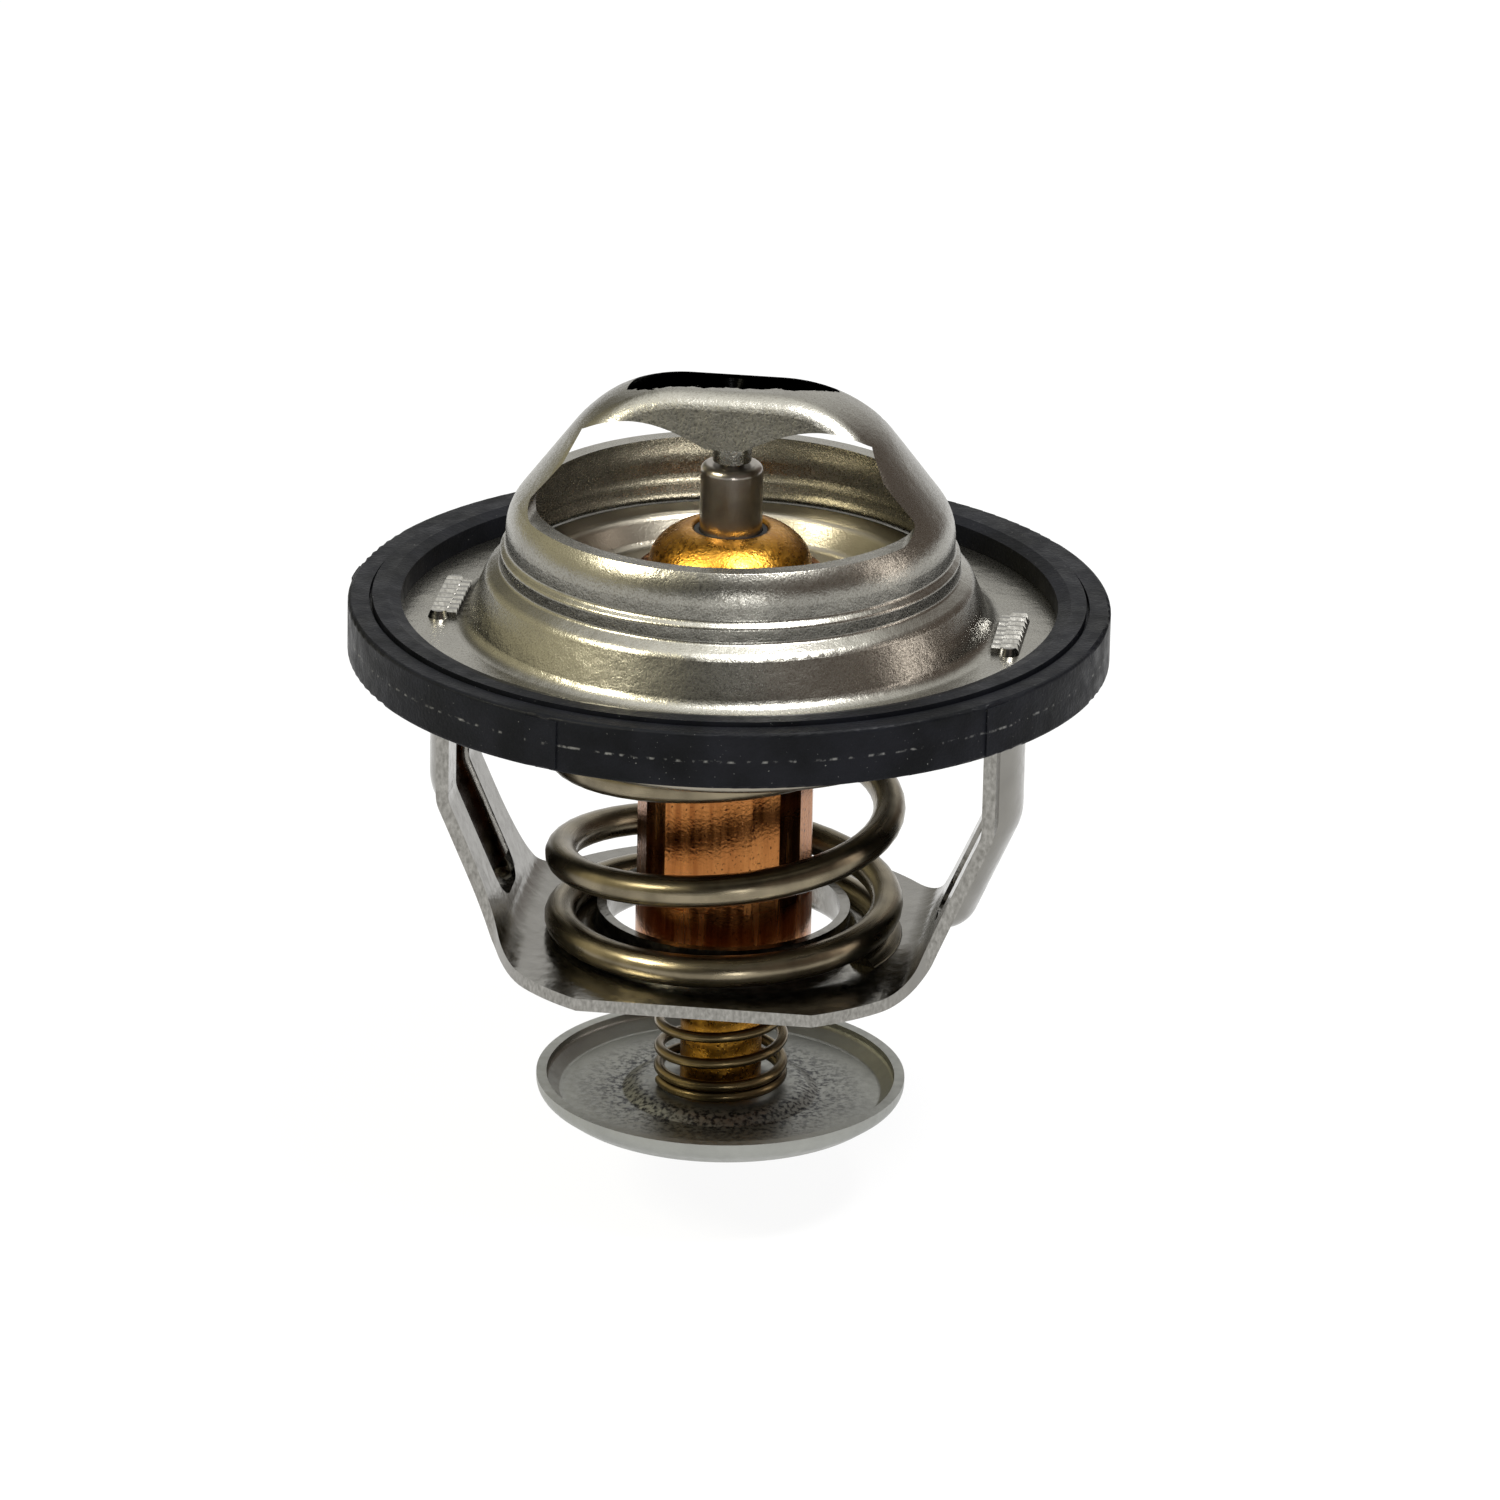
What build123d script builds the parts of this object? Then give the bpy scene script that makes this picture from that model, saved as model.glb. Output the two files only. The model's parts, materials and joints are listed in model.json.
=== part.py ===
from build123d import *
import os
from math import cos, pi, radians, sin

# Engine thermostat, two-stage wax type, in millimetres.
# The origin lies on the axis, half way up the rubber seal. +Z points at the bridge,
# and the two arms of the bridge and of the lower frame lie along +X and -X.

# Shared clearances
overrun = 1.0                   # how far a cut runs past the face it leaves
fitted_gap = 0.02               # pieces that are pressed, crimped or moulded together
running_gap = 0.06              # pieces that slide in one another

# Bridge frame: one deep drawn stamping
bridge_sheet = 1.0
band_radius = 17.35             # smooth band under the windows, from which the collar steps out
waist_step = 0.45               # narrow band over the shoulder
shoulder_step = 1.5             # lower shoulder of the collar
foot_step = 3.1                 # where the collar rises from the flange
flange_width = 6.55             # from the collar's foot to the edge inside the seal
shoulder_height = 4.3
waist_height = 5.0
waist_length = 1.2
band_height = 6.6
foot_blend = 1.3
shoulder_blend = 1.1
band_blend = 0.35
sill_height = 10.2              # lower edge of the two windows
dome_start_drop = 1.1           # the band leans in to the arms a little below the sill
dome_start_blend = 4.0
crest_height = 19.75
crest_share = 0.536             # where the slope of the arms would meet the crest, over band_radius
crest_blend_share = 0.628       # its blend, over band_radius
strap_half_width = 3.0          # half width of the strap at the crest, before its blend
strap_flare = 4.7               # how much wider it is at the sill, on each side
strap_edge_blend = 2.0

# Corners of the window: half widths over band_radius, heights over the rise from sill to crest
window_sill_share = 0.905
window_waist_share = 0.712
window_waist_height_share = 0.42
window_corner_share = 0.645
window_corner_height_share = 0.655
window_crown_share = 0.421
window_crown_height_share = 0.77
window_apron_share = 0.242      # where the strap starts to hang down to the nub
window_apron_height_share = 0.715
window_nub_share = 0.085
window_nub_height_share = 0.6
window_sill_blend = 0.7

# Nub under the strap, which holds the tip of the piston, measured down from the crest
nub_root_radius = 1.2
nub_flare_radius = 3.8
nub_flare_drop = 2.85
nub_throat_radius = 2.3
nub_throat_drop = 4.05
nub_neck_radius = 1.5
nub_neck_drop = 4.85
nub_tip_drop = 6.2
nub_socket_depth = 1.9
dimple_radius = 1.2             # the drawn hollow over the nub, at the crest
dimple_depth = 0.7
dimple_taper = 35               # degrees

# Rubber seal: one moulding with a slot for the flange, measured out from the flange's edge
seal_wall = 2.5
seal_height = 4.36
seal_edge_blend = 0.3
seal_groove_reach = 0.85
seal_groove_width = 0.25
seal_groove_depth = 0.5
seal_lip_reach = 0.6
seal_lip_rise = 0.3
seal_bore_reach = 1.6
seal_pad_count = 5
seal_pad_width = 2.7
seal_pad_rise = 0.15
seal_pad_turn = -110.5          # bearing of the first pad, in degrees

# Wax cup with its crimped wall, and what it holds
cup_radius = 6.9
cup_wall = 0.6
cup_flat_count = 18
cup_flats_turn = -4.5           # bearing of the first edge between two flats, in degrees
cup_crimp_rise = 3.9            # lower end of the flats over the plate
cup_drop = 2.8                  # how far the cup comes through the plate
cup_bottom_blend = 1.5
cup_lip_step = 0.5              # crimped over the cover's flange
cup_lip_top = 4.6
cup_lip_sheet = 0.35
cup_flange_sheet = 0.5
boot_wall = 0.8
backing_height = 0.7

# Lower frame: one bent stamping, staked to the flange
frame_sheet = 1.0
plate_top = -25.4
arm_step = 1.35                 # outer face of the upright arms, out from the collar's foot
arm_half_width = 6.6
arm_bend_share = 0.523          # how far down the arms turn inward
arm_bend_radius = 3.0
arm_slope_run = 5.4             # how far the slope of the arms leads inward
plate_bend_radius = 3.8
plate_ear = 2.2                 # how far the round of the plate stands out of the slopes
plate_flat_cut = 2.4            # taken off the front and the back of that round
plate_corner_blend = 3.0
eye_gap = 2.25                  # from the wax cup to the hole in the plate
eye_wall = 0.75
eye_height = 2.2
eye_blend = 1.2
eye_blend_share = 0.8
rib_half_width = 3.1            # channel pressed into each arm
rib_depth = 1.5
rib_top = -2.6
rib_run_share = 0.75            # how far down the slope the channel runs
rib_end_share = 0.9             # blend at its lower end, as a share of its depth
lug_reach = 0.95                # small shoulders at the top of each arm
lug_height = 4.3
lug_width = 1.9
tab_half_length = 3.7
stake_margin = 0.8              # the staked head is longer than its tab
stake_width = 1.7
stake_rise = 0.6
stake_ridge_count = 9
stake_taper = 22                # degrees
stake_notch_share = 0.55
stake_offset = 0.85             # the head leans outward of the arm

# Piston
piston_radius = 2.42
piston_shoulder_drop = 0.25     # from the nub's tip to the shoulder
piston_shoulder_blend = 0.6
piston_neck_radius = 0.95
piston_foot_share = 0.55        # how far down the cup it reaches
piston_foot_chamfer = 0.8

# Cover of the wax element, which guides the piston
cover_hole_radius = 2.85
cover_hole_blend = 0.35
cover_dome_inset = 0.56         # the dome stands inside the cup's wall
cover_dome_height = 8.15
cover_dome_foot = 4.9
dome_knee_share = 0.82          # the dome's rounding half way up
dome_knee_height_share = 0.72
cover_flange_top = 4.2
cover_flange_sheet = 0.5
cover_guide_radius = 4.4
cover_guide_foot = -2.1
wiper_groove_radius = 3.6
wiper_groove_top = 7.3
wiper_groove_height = 1.0
wiper_drop = 0.25               # how far the seal's lip lies under the cover's edge

# Main valve: one drawn cap with a skirt. Its rings are shares of the way from the cup to the crown
valve_sheet = 0.9
valve_hub_share = 0.2
valve_trough_inner_share = 0.334
valve_trough_outer_share = 0.602
valve_trough_height = 2.1
valve_crown_inner_share = 0.735
valve_crown_height = 4.2
valve_crown_step = 0.03         # outer edge of the crown, out from the band
valve_skirt_step = 1.1          # the skirt, out from the band
valve_seat_height = 0.9
valve_seat_blend = 1.4
valve_skirt_bottom = -7.1
valve_lip_reach = 1.4
valve_lip_blend = 1.0
valve_ring_blend = 0.95

# Main spring
spring_wire = 2.5
spring_side_gap = 0.45          # from the eye's blend to the spring
spring_tip_turn = -25.0         # bearing of the lower end, in degrees
spring_active_turns = 2.8
spring_end_turns = 1.0          # closed and ground part at each end
spring_ramp_turns = 0.9         # where a closed end opens to the full pitch
spring_tip_cut = 1.8            # how much of the wire is ground away at each tip
spring_point_count = 16         # points that the coil's line follows in one turn

# Bypass valve with its stem, clip and spring
stem_radius = 3.2
stem_groove_depth = 0.4
clip_reach = 1.3
clip_thickness = 0.4
clip_opening = 2.2
disc_radius = 14.52
disc_drop = 10.6                # from the bottom of the cup to the bottom of the disc
disc_sheet = 0.8
disc_knee_height = 1.2          # where the upright rim turns inward
disc_foot_inset = 1.62
disc_rim_height = 2.2
disc_rim_blend = 1.2
disc_boss_reach = 3.1
disc_boss_lean = 1.2
disc_boss_rise = 0.7
disc_boss_blend = 1.1
bypass_wire = 0.85
bypass_side_gap = 1.225         # from the stem to the spring
bypass_active_turns = 2.6
bypass_end_turns = 1.4
bypass_ramp_turns = 0.3
bypass_end_rise = 0.9           # the closed turns lie on one another
bypass_tip_turn = 200.0

# Heights and radii that follow from the sizes above
waist_radius = band_radius + waist_step
shoulder_radius = band_radius + shoulder_step
foot_radius = band_radius + foot_step
flange_radius = foot_radius + flange_width
flange_top = bridge_sheet / 2
flange_bottom = -bridge_sheet / 2
dome_rise = crest_height - sill_height
crest_radius = band_radius * crest_share
strap_foot_half_width = strap_half_width + strap_flare
nub_tip_height = crest_height - nub_tip_drop
socket_top = nub_tip_height + nub_socket_depth
seal_radius = flange_radius + seal_wall
seal_top = seal_height / 2
plate_bottom = plate_top - frame_sheet
arm_reach = foot_radius + arm_step
arm_bend_height = plate_bottom * arm_bend_share
plate_reach = arm_reach - arm_slope_run
plate_radius = plate_reach + plate_ear
plate_flat_half = plate_radius - plate_flat_cut
eye_radius = cup_radius + eye_gap
stake_length = (tab_half_length + stake_margin) * 2
cup_bottom = plate_bottom - cup_drop
cup_crimp_bottom = plate_top + cup_crimp_rise
cup_lip_radius = cup_radius + cup_lip_step
cover_dome_radius = cup_radius - cover_dome_inset
cover_flange_radius = cup_radius
piston_shoulder_height = nub_tip_height - piston_shoulder_drop
piston_foot = cup_bottom * piston_foot_share
valve_skirt_radius = band_radius + valve_skirt_step
valve_crown_outer = band_radius + valve_crown_step
spring_mean_radius = eye_radius + eye_wall + eye_blend + spring_side_gap + spring_wire / 2
stem_groove_radius = stem_radius - stem_groove_depth
clip_radius = stem_radius + clip_reach
disc_base = cup_bottom - disc_drop
disc_foot_radius = disc_radius - disc_foot_inset
disc_boss_radius = stem_radius + disc_boss_reach
bypass_mean_radius = stem_radius + bypass_side_gap + bypass_wire / 2


def ring_profile(*corners):
    """Face in the XZ plane that a ring is turned from, given by (radius, height) corners."""
    with BuildSketch(Plane.XZ) as section:
        with BuildLine():
            Polyline(*corners, close=True)
        make_face()
    return section.sketch


def sheet_profile(corners, radii, thickness, side=Side.RIGHT):
    """Section of a drawn sheet: its outer line with blended corners, and its thickness inside it."""
    with BuildSketch(Plane.XZ) as section:
        with BuildLine():
            FilletPolyline(*corners, radius=radii)
            offset(amount=thickness, side=side)
        make_face()
    return section.sketch


# Bridge frame

bridge_outline = [
    (flange_radius, flange_top),
    (foot_radius, flange_top),
    (shoulder_radius, shoulder_height),
    (waist_radius, waist_height),
    (waist_radius, waist_height + waist_length),
    (band_radius, band_height),
    (band_radius, sill_height - dome_start_drop),
    (crest_radius, crest_height),
    (0, crest_height),
]
bridge_blends = [foot_blend, shoulder_blend, band_blend, band_blend, band_blend, dome_start_blend,
                 band_radius * crest_blend_share]
bridge_wall = sheet_profile(bridge_outline, bridge_blends, bridge_sheet)
strap_lean = strap_flare / dome_rise


def dome_block(inset):
    """Solid of the dome over the window sill, within the strap's sides, held in by the inset."""
    base = sill_height - inset
    with BuildPart() as block:
        with BuildSketch(Plane.XZ):
            with BuildLine():
                FilletPolyline(*bridge_outline[-4:], radius=bridge_blends[-2:])
                Polyline((0, crest_height), (0, band_height), (band_radius, band_height))
            make_face()
            if inset:
                add(bridge_wall, mode=Mode.SUBTRACT)
        revolve(axis=Axis.Z)
        with BuildSketch(Plane.YZ):
            with BuildLine():
                foot = strap_half_width + strap_lean * (crest_height - band_height)
                Polyline(
                    (-foot, band_height),
                    (-strap_half_width, crest_height),
                    (strap_half_width, crest_height),
                    (foot, band_height),
                    close=True,
                )
            make_face()
            if inset:
                offset(amount=-inset)
        extrude(amount=band_radius + overrun, both=True, mode=Mode.INTERSECT)
        split(bisect_by=Plane.XY.offset(base), keep=Keep.TOP)
        sides = faces().sort_by(Axis.Y)
        crown_edges = sides[0].edges().sort_by(Axis.Z)[1:] + sides[-1].edges().sort_by(Axis.Z)[1:]
        fillet(crown_edges, radius=strap_edge_blend - inset)
    return block.part


strap_outside = dome_block(0)
strap_inside = dome_block(bridge_sheet)
stake_centre = arm_reach - frame_sheet / 2 + stake_offset
slot_length = tab_half_length * 2 + fitted_gap * 2

with BuildPart() as bridge_frame:
    # Collar and flange, left standing past the sill for the window cut, then the strap with its arms
    with BuildSketch(Plane.XZ):
        add(bridge_wall)
        with Locations((0, sill_height + overrun / 2)):
            Rectangle(band_radius * 2, crest_height, align=(Align.MIN, Align.MIN), mode=Mode.SUBTRACT)
    revolve(axis=Axis.Z)
    add(strap_outside)
    add(strap_inside, mode=Mode.SUBTRACT)
    # One cut right through makes the front and the back window
    with BuildSketch(Plane.XZ):
        with BuildLine():
            window_right = [
                (band_radius * half_share, sill_height + dome_rise * height_share)
                for half_share, height_share in (
                    (window_corner_share, window_corner_height_share),
                    (window_crown_share, window_crown_height_share),
                    (window_apron_share, window_apron_height_share),
                    (window_nub_share, window_nub_height_share),
                )
            ]
            right_top = Spline(*window_right)
            left_top = mirror(right_top, about=Plane.YZ)
            Line(left_top @ 1, right_top @ 1)
            window_side = [
                (band_radius * window_waist_share, sill_height + dome_rise * window_waist_height_share),
                (band_radius * window_sill_share, sill_height),
            ]
            right_side = Polyline(right_top @ 0, *window_side)
            left_side = mirror(right_side, about=Plane.YZ)
            Line(left_side @ 1, right_side @ 1)
        make_face()
        fillet(vertices().group_by(Axis.Y)[0], radius=window_sill_blend)
    extrude(amount=band_radius + overrun, both=True, mode=Mode.SUBTRACT)
    # Nub: a flared cone drawn down from the strap, with a socket for the piston
    with BuildSketch(Plane.XZ):
        with BuildLine():
            nub_side = Spline(
                (nub_neck_radius, crest_height - nub_neck_drop),
                (nub_throat_radius, crest_height - nub_throat_drop),
                (nub_flare_radius, crest_height - nub_flare_drop),
                tangents=[(0, 1), (1, 1)],
            )
            Polyline(
                nub_side @ 1,
                (nub_root_radius, crest_height - bridge_sheet / 2),
                (0, crest_height - bridge_sheet / 2),
                (0, nub_tip_height),
                (nub_neck_radius, nub_tip_height),
                nub_side @ 0,
            )
        make_face()
    revolve(axis=Axis.Z)
    with BuildSketch(Plane.XY.offset(nub_tip_height)):
        Circle(piston_neck_radius + fitted_gap)
    extrude(amount=nub_socket_depth, mode=Mode.SUBTRACT)
    with BuildSketch(Plane.XY.offset(crest_height)):
        Circle(dimple_radius)
    extrude(amount=-dimple_depth, taper=dimple_taper, mode=Mode.SUBTRACT)
    # Two slots in the flange for the tabs of the lower frame
    with Locations((stake_centre - stake_offset, 0), (stake_offset - stake_centre, 0)):
        Box(frame_sheet + fitted_gap * 2, slot_length, bridge_sheet + overrun, mode=Mode.SUBTRACT)
bridge_frame.part.label = "bridge_frame"

# Seal

groove_inside = flange_radius + seal_groove_reach - seal_groove_width

with BuildPart() as gasket:
    with BuildSketch(Plane.XZ):
        with BuildLine():
            Polyline(
                (seal_radius, 0),
                (seal_radius, seal_top),
                (flange_radius + seal_groove_reach, seal_top),
                (flange_radius + seal_groove_reach, seal_top - seal_groove_depth),
                (groove_inside, seal_top - seal_groove_depth),
                (groove_inside, seal_top + seal_lip_rise),
                (flange_radius - seal_lip_reach, seal_top + seal_lip_rise),
                (flange_radius - seal_bore_reach, seal_top),
                (flange_radius - seal_bore_reach, flange_top + fitted_gap),
                (flange_radius + fitted_gap, flange_top + fitted_gap),
                (flange_radius + fitted_gap, 0),
                close=True,
            )
        make_face()
        mirror(about=Plane.XZ)
        fillet(vertices().group_by(Axis.X)[-1], radius=seal_edge_blend)
    revolve(axis=Axis.Z)
    # Narrow moulded pads stand out of the rim
    with BuildSketch(Plane.XY.offset(-seal_top + seal_edge_blend)):
        Circle(seal_radius + seal_pad_rise)
        Circle(seal_radius - seal_edge_blend, mode=Mode.SUBTRACT)
        with PolarLocations(seal_radius, seal_pad_count, start_angle=seal_pad_turn):
            Rectangle(seal_edge_blend * 4, seal_pad_width, mode=Mode.INTERSECT)
    extrude(amount=seal_height - seal_edge_blend * 2)
gasket.part.label = "gasket"

# Lower frame

arm_outline = [
    (arm_reach, flange_bottom),
    (arm_reach, arm_bend_height),
    (plate_reach, plate_bottom),
    (-plate_reach, plate_bottom),
    (-arm_reach, arm_bend_height),
    (-arm_reach, flange_bottom),
]
arm_blends = [arm_bend_radius, plate_bend_radius, plate_bend_radius, arm_bend_radius]
arm_section = sheet_profile(arm_outline, arm_blends, frame_sheet)
arm_face = arm_reach - frame_sheet
slope = Vector(plate_reach - arm_reach, 0, plate_bottom - arm_bend_height)
slope_out = Vector(-slope.Z, 0, slope.X).normalized()
slope_start = Vector(arm_face, 0, arm_bend_height + frame_sheet * (1 - slope_out.X) / -slope_out.Z)
channel_end = slope_start + slope * rib_run_share


def arm_channel(half_width, depth):
    """Round-bottomed bar along the inner face of the +X arm, bulging outward by its depth."""
    with BuildPart() as bar:
        with BuildLine() as route:
            FilletPolyline(
                (arm_face, 0, rib_top),
                slope_start,
                channel_end,
                radius=arm_bend_radius - frame_sheet,
            )
        with BuildSketch(Plane(origin=route.line @ 0, x_dir=(0, 1, 0), z_dir=route.line % 0)):
            Ellipse(half_width, depth)
            Rectangle(half_width * 2, depth, align=(Align.CENTER, Align.MAX), mode=Mode.SUBTRACT)
        sweep(path=route.line)
        # The lower end is rounded off
        end_face = faces().sort_by(Axis.Z)[0]
        fillet(end_face.edges().filter_by(GeomType.ELLIPSE), radius=depth * rib_end_share)
    return bar.part


channel_skin = arm_channel(rib_half_width + frame_sheet, rib_depth + frame_sheet)
channel_hollow = arm_channel(rib_half_width, rib_depth)

with BuildPart() as lower_frame:
    # Bent strip seen from the side, then trimmed to its outline seen from above
    with BuildSketch(Plane.XZ):
        add(arm_section)
    extrude(amount=plate_radius, both=True)
    with BuildSketch(Plane.XY.offset(plate_bottom - overrun)):
        Circle(plate_radius)
        Rectangle(plate_radius * 2, plate_flat_half * 2, mode=Mode.INTERSECT)
        Rectangle((arm_reach + overrun) * 2, arm_half_width * 2)
        inner_corners = vertices().filter_by_position(Axis.X, -plate_radius, plate_radius)
        reach = arm_half_width + fitted_gap
        fillet(inner_corners.filter_by_position(Axis.Y, -reach, reach), radius=plate_corner_blend)
    extrude(amount=-plate_bottom + overrun * 2, mode=Mode.INTERSECT)
    for side in (channel_skin, channel_skin.mirror(Plane.YZ)):
        add(side)
    for side in (channel_hollow, channel_hollow.mirror(Plane.YZ)):
        add(side, mode=Mode.SUBTRACT)
    # Eye of the plate, drawn up into a short collar
    with BuildSketch(Plane.XY.offset(plate_top)):
        Circle(eye_radius + eye_wall + eye_blend)
    extrude(amount=-frame_sheet, mode=Mode.SUBTRACT)
    with BuildSketch(Plane.XZ):
        with BuildLine():
            Polyline(
                (eye_radius, plate_bottom),
                (eye_radius, plate_top + eye_height),
                (eye_radius + eye_wall, plate_top + eye_height),
                (eye_radius + eye_wall, plate_top),
                (eye_radius + eye_wall + eye_blend, plate_top),
                (eye_radius + eye_wall + eye_blend, plate_bottom),
                close=True,
            )
        make_face()
        drawn_edges = vertices().filter_by_position(Axis.X, 0, eye_radius + eye_wall + fitted_gap)
        fillet(drawn_edges.filter_by_position(Axis.Y, plate_bottom - fitted_gap, plate_top + fitted_gap),
               radius=eye_blend * eye_blend_share)
    revolve(axis=Axis.Z)
    # Small shoulders inside the top of each arm
    lug_x = arm_face - lug_reach / 2
    lug_y = arm_half_width - lug_width / 2
    with Locations(*[(x, y, flange_bottom - lug_height / 2) for x in (-lug_x, lug_x) for y in (-lug_y, lug_y)]):
        Box(lug_reach, lug_width, lug_height)
    # Tabs through the flange, and their staked heads with pressed ridges
    with Locations((arm_reach - frame_sheet / 2, 0), (frame_sheet / 2 - arm_reach, 0)):
        Box(frame_sheet, tab_half_length * 2, bridge_sheet * 2 - fitted_gap)
    with BuildSketch(Plane.XY.offset(flange_top)):
        with Locations((stake_centre, 0), (-stake_centre, 0)):
            SlotOverall(stake_length, stake_width, rotation=90)
    extrude(amount=stake_rise, taper=stake_taper)
    ridge_pitch = stake_length / stake_ridge_count
    with Locations(Location((stake_centre, 0, flange_top + stake_rise)),
                   Location((-stake_centre, 0, flange_top + stake_rise))):
        with GridLocations(stake_width, ridge_pitch, 1, stake_ridge_count - 1):
            Box(stake_width * 2, ridge_pitch * stake_notch_share, ridge_pitch * stake_notch_share,
                rotation=(45, 0, 0), mode=Mode.SUBTRACT)
lower_frame.part.label = "lower_frame"

# Piston

with BuildPart() as piston:
    with BuildSketch(Plane.XZ):
        with BuildLine():
            Polyline(
                (0, piston_foot),
                (piston_radius - piston_foot_chamfer, piston_foot),
                (piston_radius, piston_foot + piston_foot_chamfer),
                (piston_radius, piston_shoulder_height),
                (piston_neck_radius, piston_shoulder_height),
                (piston_neck_radius, socket_top - fitted_gap),
                (0, socket_top - fitted_gap),
                close=True,
            )
        make_face()
        shoulder = vertices().group_by(Axis.X)[-1].sort_by(Axis.Y)[-1]
        fillet(shoulder, radius=piston_shoulder_blend)
    revolve(axis=Axis.Z)
piston.part.label = "piston"

# Cover of the wax element

bore_radius = piston_radius + running_gap
groove_foot = wiper_groove_top - wiper_groove_height

with BuildPart() as element_cover:
    with BuildSketch(Plane.XZ):
        with BuildLine():
            dome_side = Spline(
                (cover_dome_radius, cover_dome_foot),
                (cover_dome_radius * dome_knee_share, cover_dome_foot
                 + (cover_dome_height - cover_dome_foot) * dome_knee_height_share),
                (cover_hole_radius, cover_dome_height),
                tangents=[(0, 1), (-1, 0)],
            )
            Polyline(
                dome_side @ 1,
                (cover_hole_radius, wiper_groove_top),
                (wiper_groove_radius, wiper_groove_top),
                (wiper_groove_radius, groove_foot),
                (bore_radius, groove_foot),
                (bore_radius, cover_guide_foot),
                (cover_guide_radius, cover_guide_foot),
                (cover_guide_radius, cover_flange_top - cover_flange_sheet),
                (cover_flange_radius, cover_flange_top - cover_flange_sheet),
                (cover_flange_radius, cover_flange_top),
                (cover_dome_radius, cover_flange_top),
                dome_side @ 0,
            )
        make_face()
        fillet(vertices().sort_by(Axis.Y)[-1], radius=cover_hole_blend)
    revolve(axis=Axis.Z)
element_cover.part.label = "element_cover"

with BuildPart() as wiper_seal:
    add(ring_profile(
        (bore_radius, groove_foot + fitted_gap),
        (wiper_groove_radius - fitted_gap, groove_foot + fitted_gap),
        (wiper_groove_radius - fitted_gap, wiper_groove_top - fitted_gap),
        (cover_hole_radius - fitted_gap, wiper_groove_top - fitted_gap),
        (cover_hole_radius - fitted_gap, cover_dome_height - wiper_drop),
        (bore_radius, cover_dome_height - wiper_drop),
    ))
    revolve(axis=Axis.Z)
wiper_seal.part.label = "wiper_seal"

# Wax cup

cup_seat = cover_flange_top - cover_flange_sheet - fitted_gap
cup_flange_bottom = cup_seat - cup_flange_sheet
cup_inside = cup_radius - cup_wall

with BuildPart() as wax_cup:
    with BuildSketch(Plane.XZ):
        with BuildLine():
            Polyline(
                (0, cup_bottom),
                (cup_radius, cup_bottom),
                (cup_radius, cup_flange_bottom),
                (cup_lip_radius, cup_flange_bottom),
                (cup_lip_radius, cup_lip_top),
                (cover_dome_radius + cup_lip_sheet, cup_lip_top),
                (cover_dome_radius + cup_lip_sheet, cover_flange_top + fitted_gap),
                (cover_flange_radius + fitted_gap, cover_flange_top + fitted_gap),
                (cover_flange_radius + fitted_gap, cup_seat),
                (cup_inside, cup_seat),
                (cup_inside, cup_bottom + cup_wall),
                (0, cup_bottom + cup_wall),
                close=True,
            )
        make_face()
        fillet(vertices().group_by(Axis.Y)[0].sort_by(Axis.X)[-1], radius=cup_bottom_blend)
        fillet(vertices().group_by(Axis.X)[-1].sort_by(Axis.Y)[-1], radius=cup_lip_sheet)
    revolve(axis=Axis.Z)
    # The crimping press leaves a ring of upright flats
    with BuildSketch(Plane.XY.offset(cup_crimp_bottom)):
        Circle(cup_radius + overrun)
        RegularPolygon(cup_radius, cup_flat_count, rotation=cup_flats_turn, mode=Mode.SUBTRACT)
    extrude(amount=cup_flange_bottom - cup_crimp_bottom, mode=Mode.SUBTRACT)
wax_cup.part.label = "wax_cup"

# Inside the cup: backing ring, rubber boot round the piston, and the wax

backing_foot = cover_guide_foot - backing_height
boot_inside = piston_radius + running_gap
boot_outside = boot_inside + boot_wall
boot_collar = cover_guide_radius + fitted_gap
boot_floor = piston_foot - running_gap
boot_flange_bottom = cup_flange_bottom

with BuildPart() as backing_ring:
    add(ring_profile(
        (boot_inside, backing_foot + fitted_gap),
        (cover_guide_radius, backing_foot + fitted_gap),
        (cover_guide_radius, cover_guide_foot - fitted_gap),
        (boot_inside, cover_guide_foot - fitted_gap),
    ))
    revolve(axis=Axis.Z)
backing_ring.part.label = "backing_ring"

boot_outline = [
    (0, boot_floor - boot_wall),
    (boot_outside, boot_floor - boot_wall),
    (boot_outside, backing_foot - boot_wall),
    (boot_collar + boot_wall, backing_foot - boot_wall),
    (boot_collar + boot_wall, boot_flange_bottom),
    (cup_inside - fitted_gap, boot_flange_bottom),
]

with BuildPart() as boot:
    add(ring_profile(
        *boot_outline,
        (cup_inside - fitted_gap, cup_seat),
        (boot_collar, cup_seat),
        (boot_collar, backing_foot),
        (boot_inside, backing_foot),
        (boot_inside, boot_floor),
        (0, boot_floor),
    ))
    revolve(axis=Axis.Z)
boot.part.label = "boot"

with BuildPart() as wax_charge:
    add(ring_profile(
        (0, cup_bottom + cup_wall + fitted_gap),
        (cup_inside - fitted_gap, cup_bottom + cup_wall + fitted_gap),
        (cup_inside - fitted_gap, boot_flange_bottom - fitted_gap),
        (boot_collar + boot_wall + fitted_gap, boot_flange_bottom - fitted_gap),
        (boot_collar + boot_wall + fitted_gap, backing_foot - boot_wall - fitted_gap),
        (boot_outside + fitted_gap, backing_foot - boot_wall - fitted_gap),
        (boot_outside + fitted_gap, boot_floor - boot_wall - fitted_gap),
        (0, boot_floor - boot_wall - fitted_gap),
    ))
    revolve(axis=Axis.Z)
wax_charge.part.label = "wax_charge"

# Main valve

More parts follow.
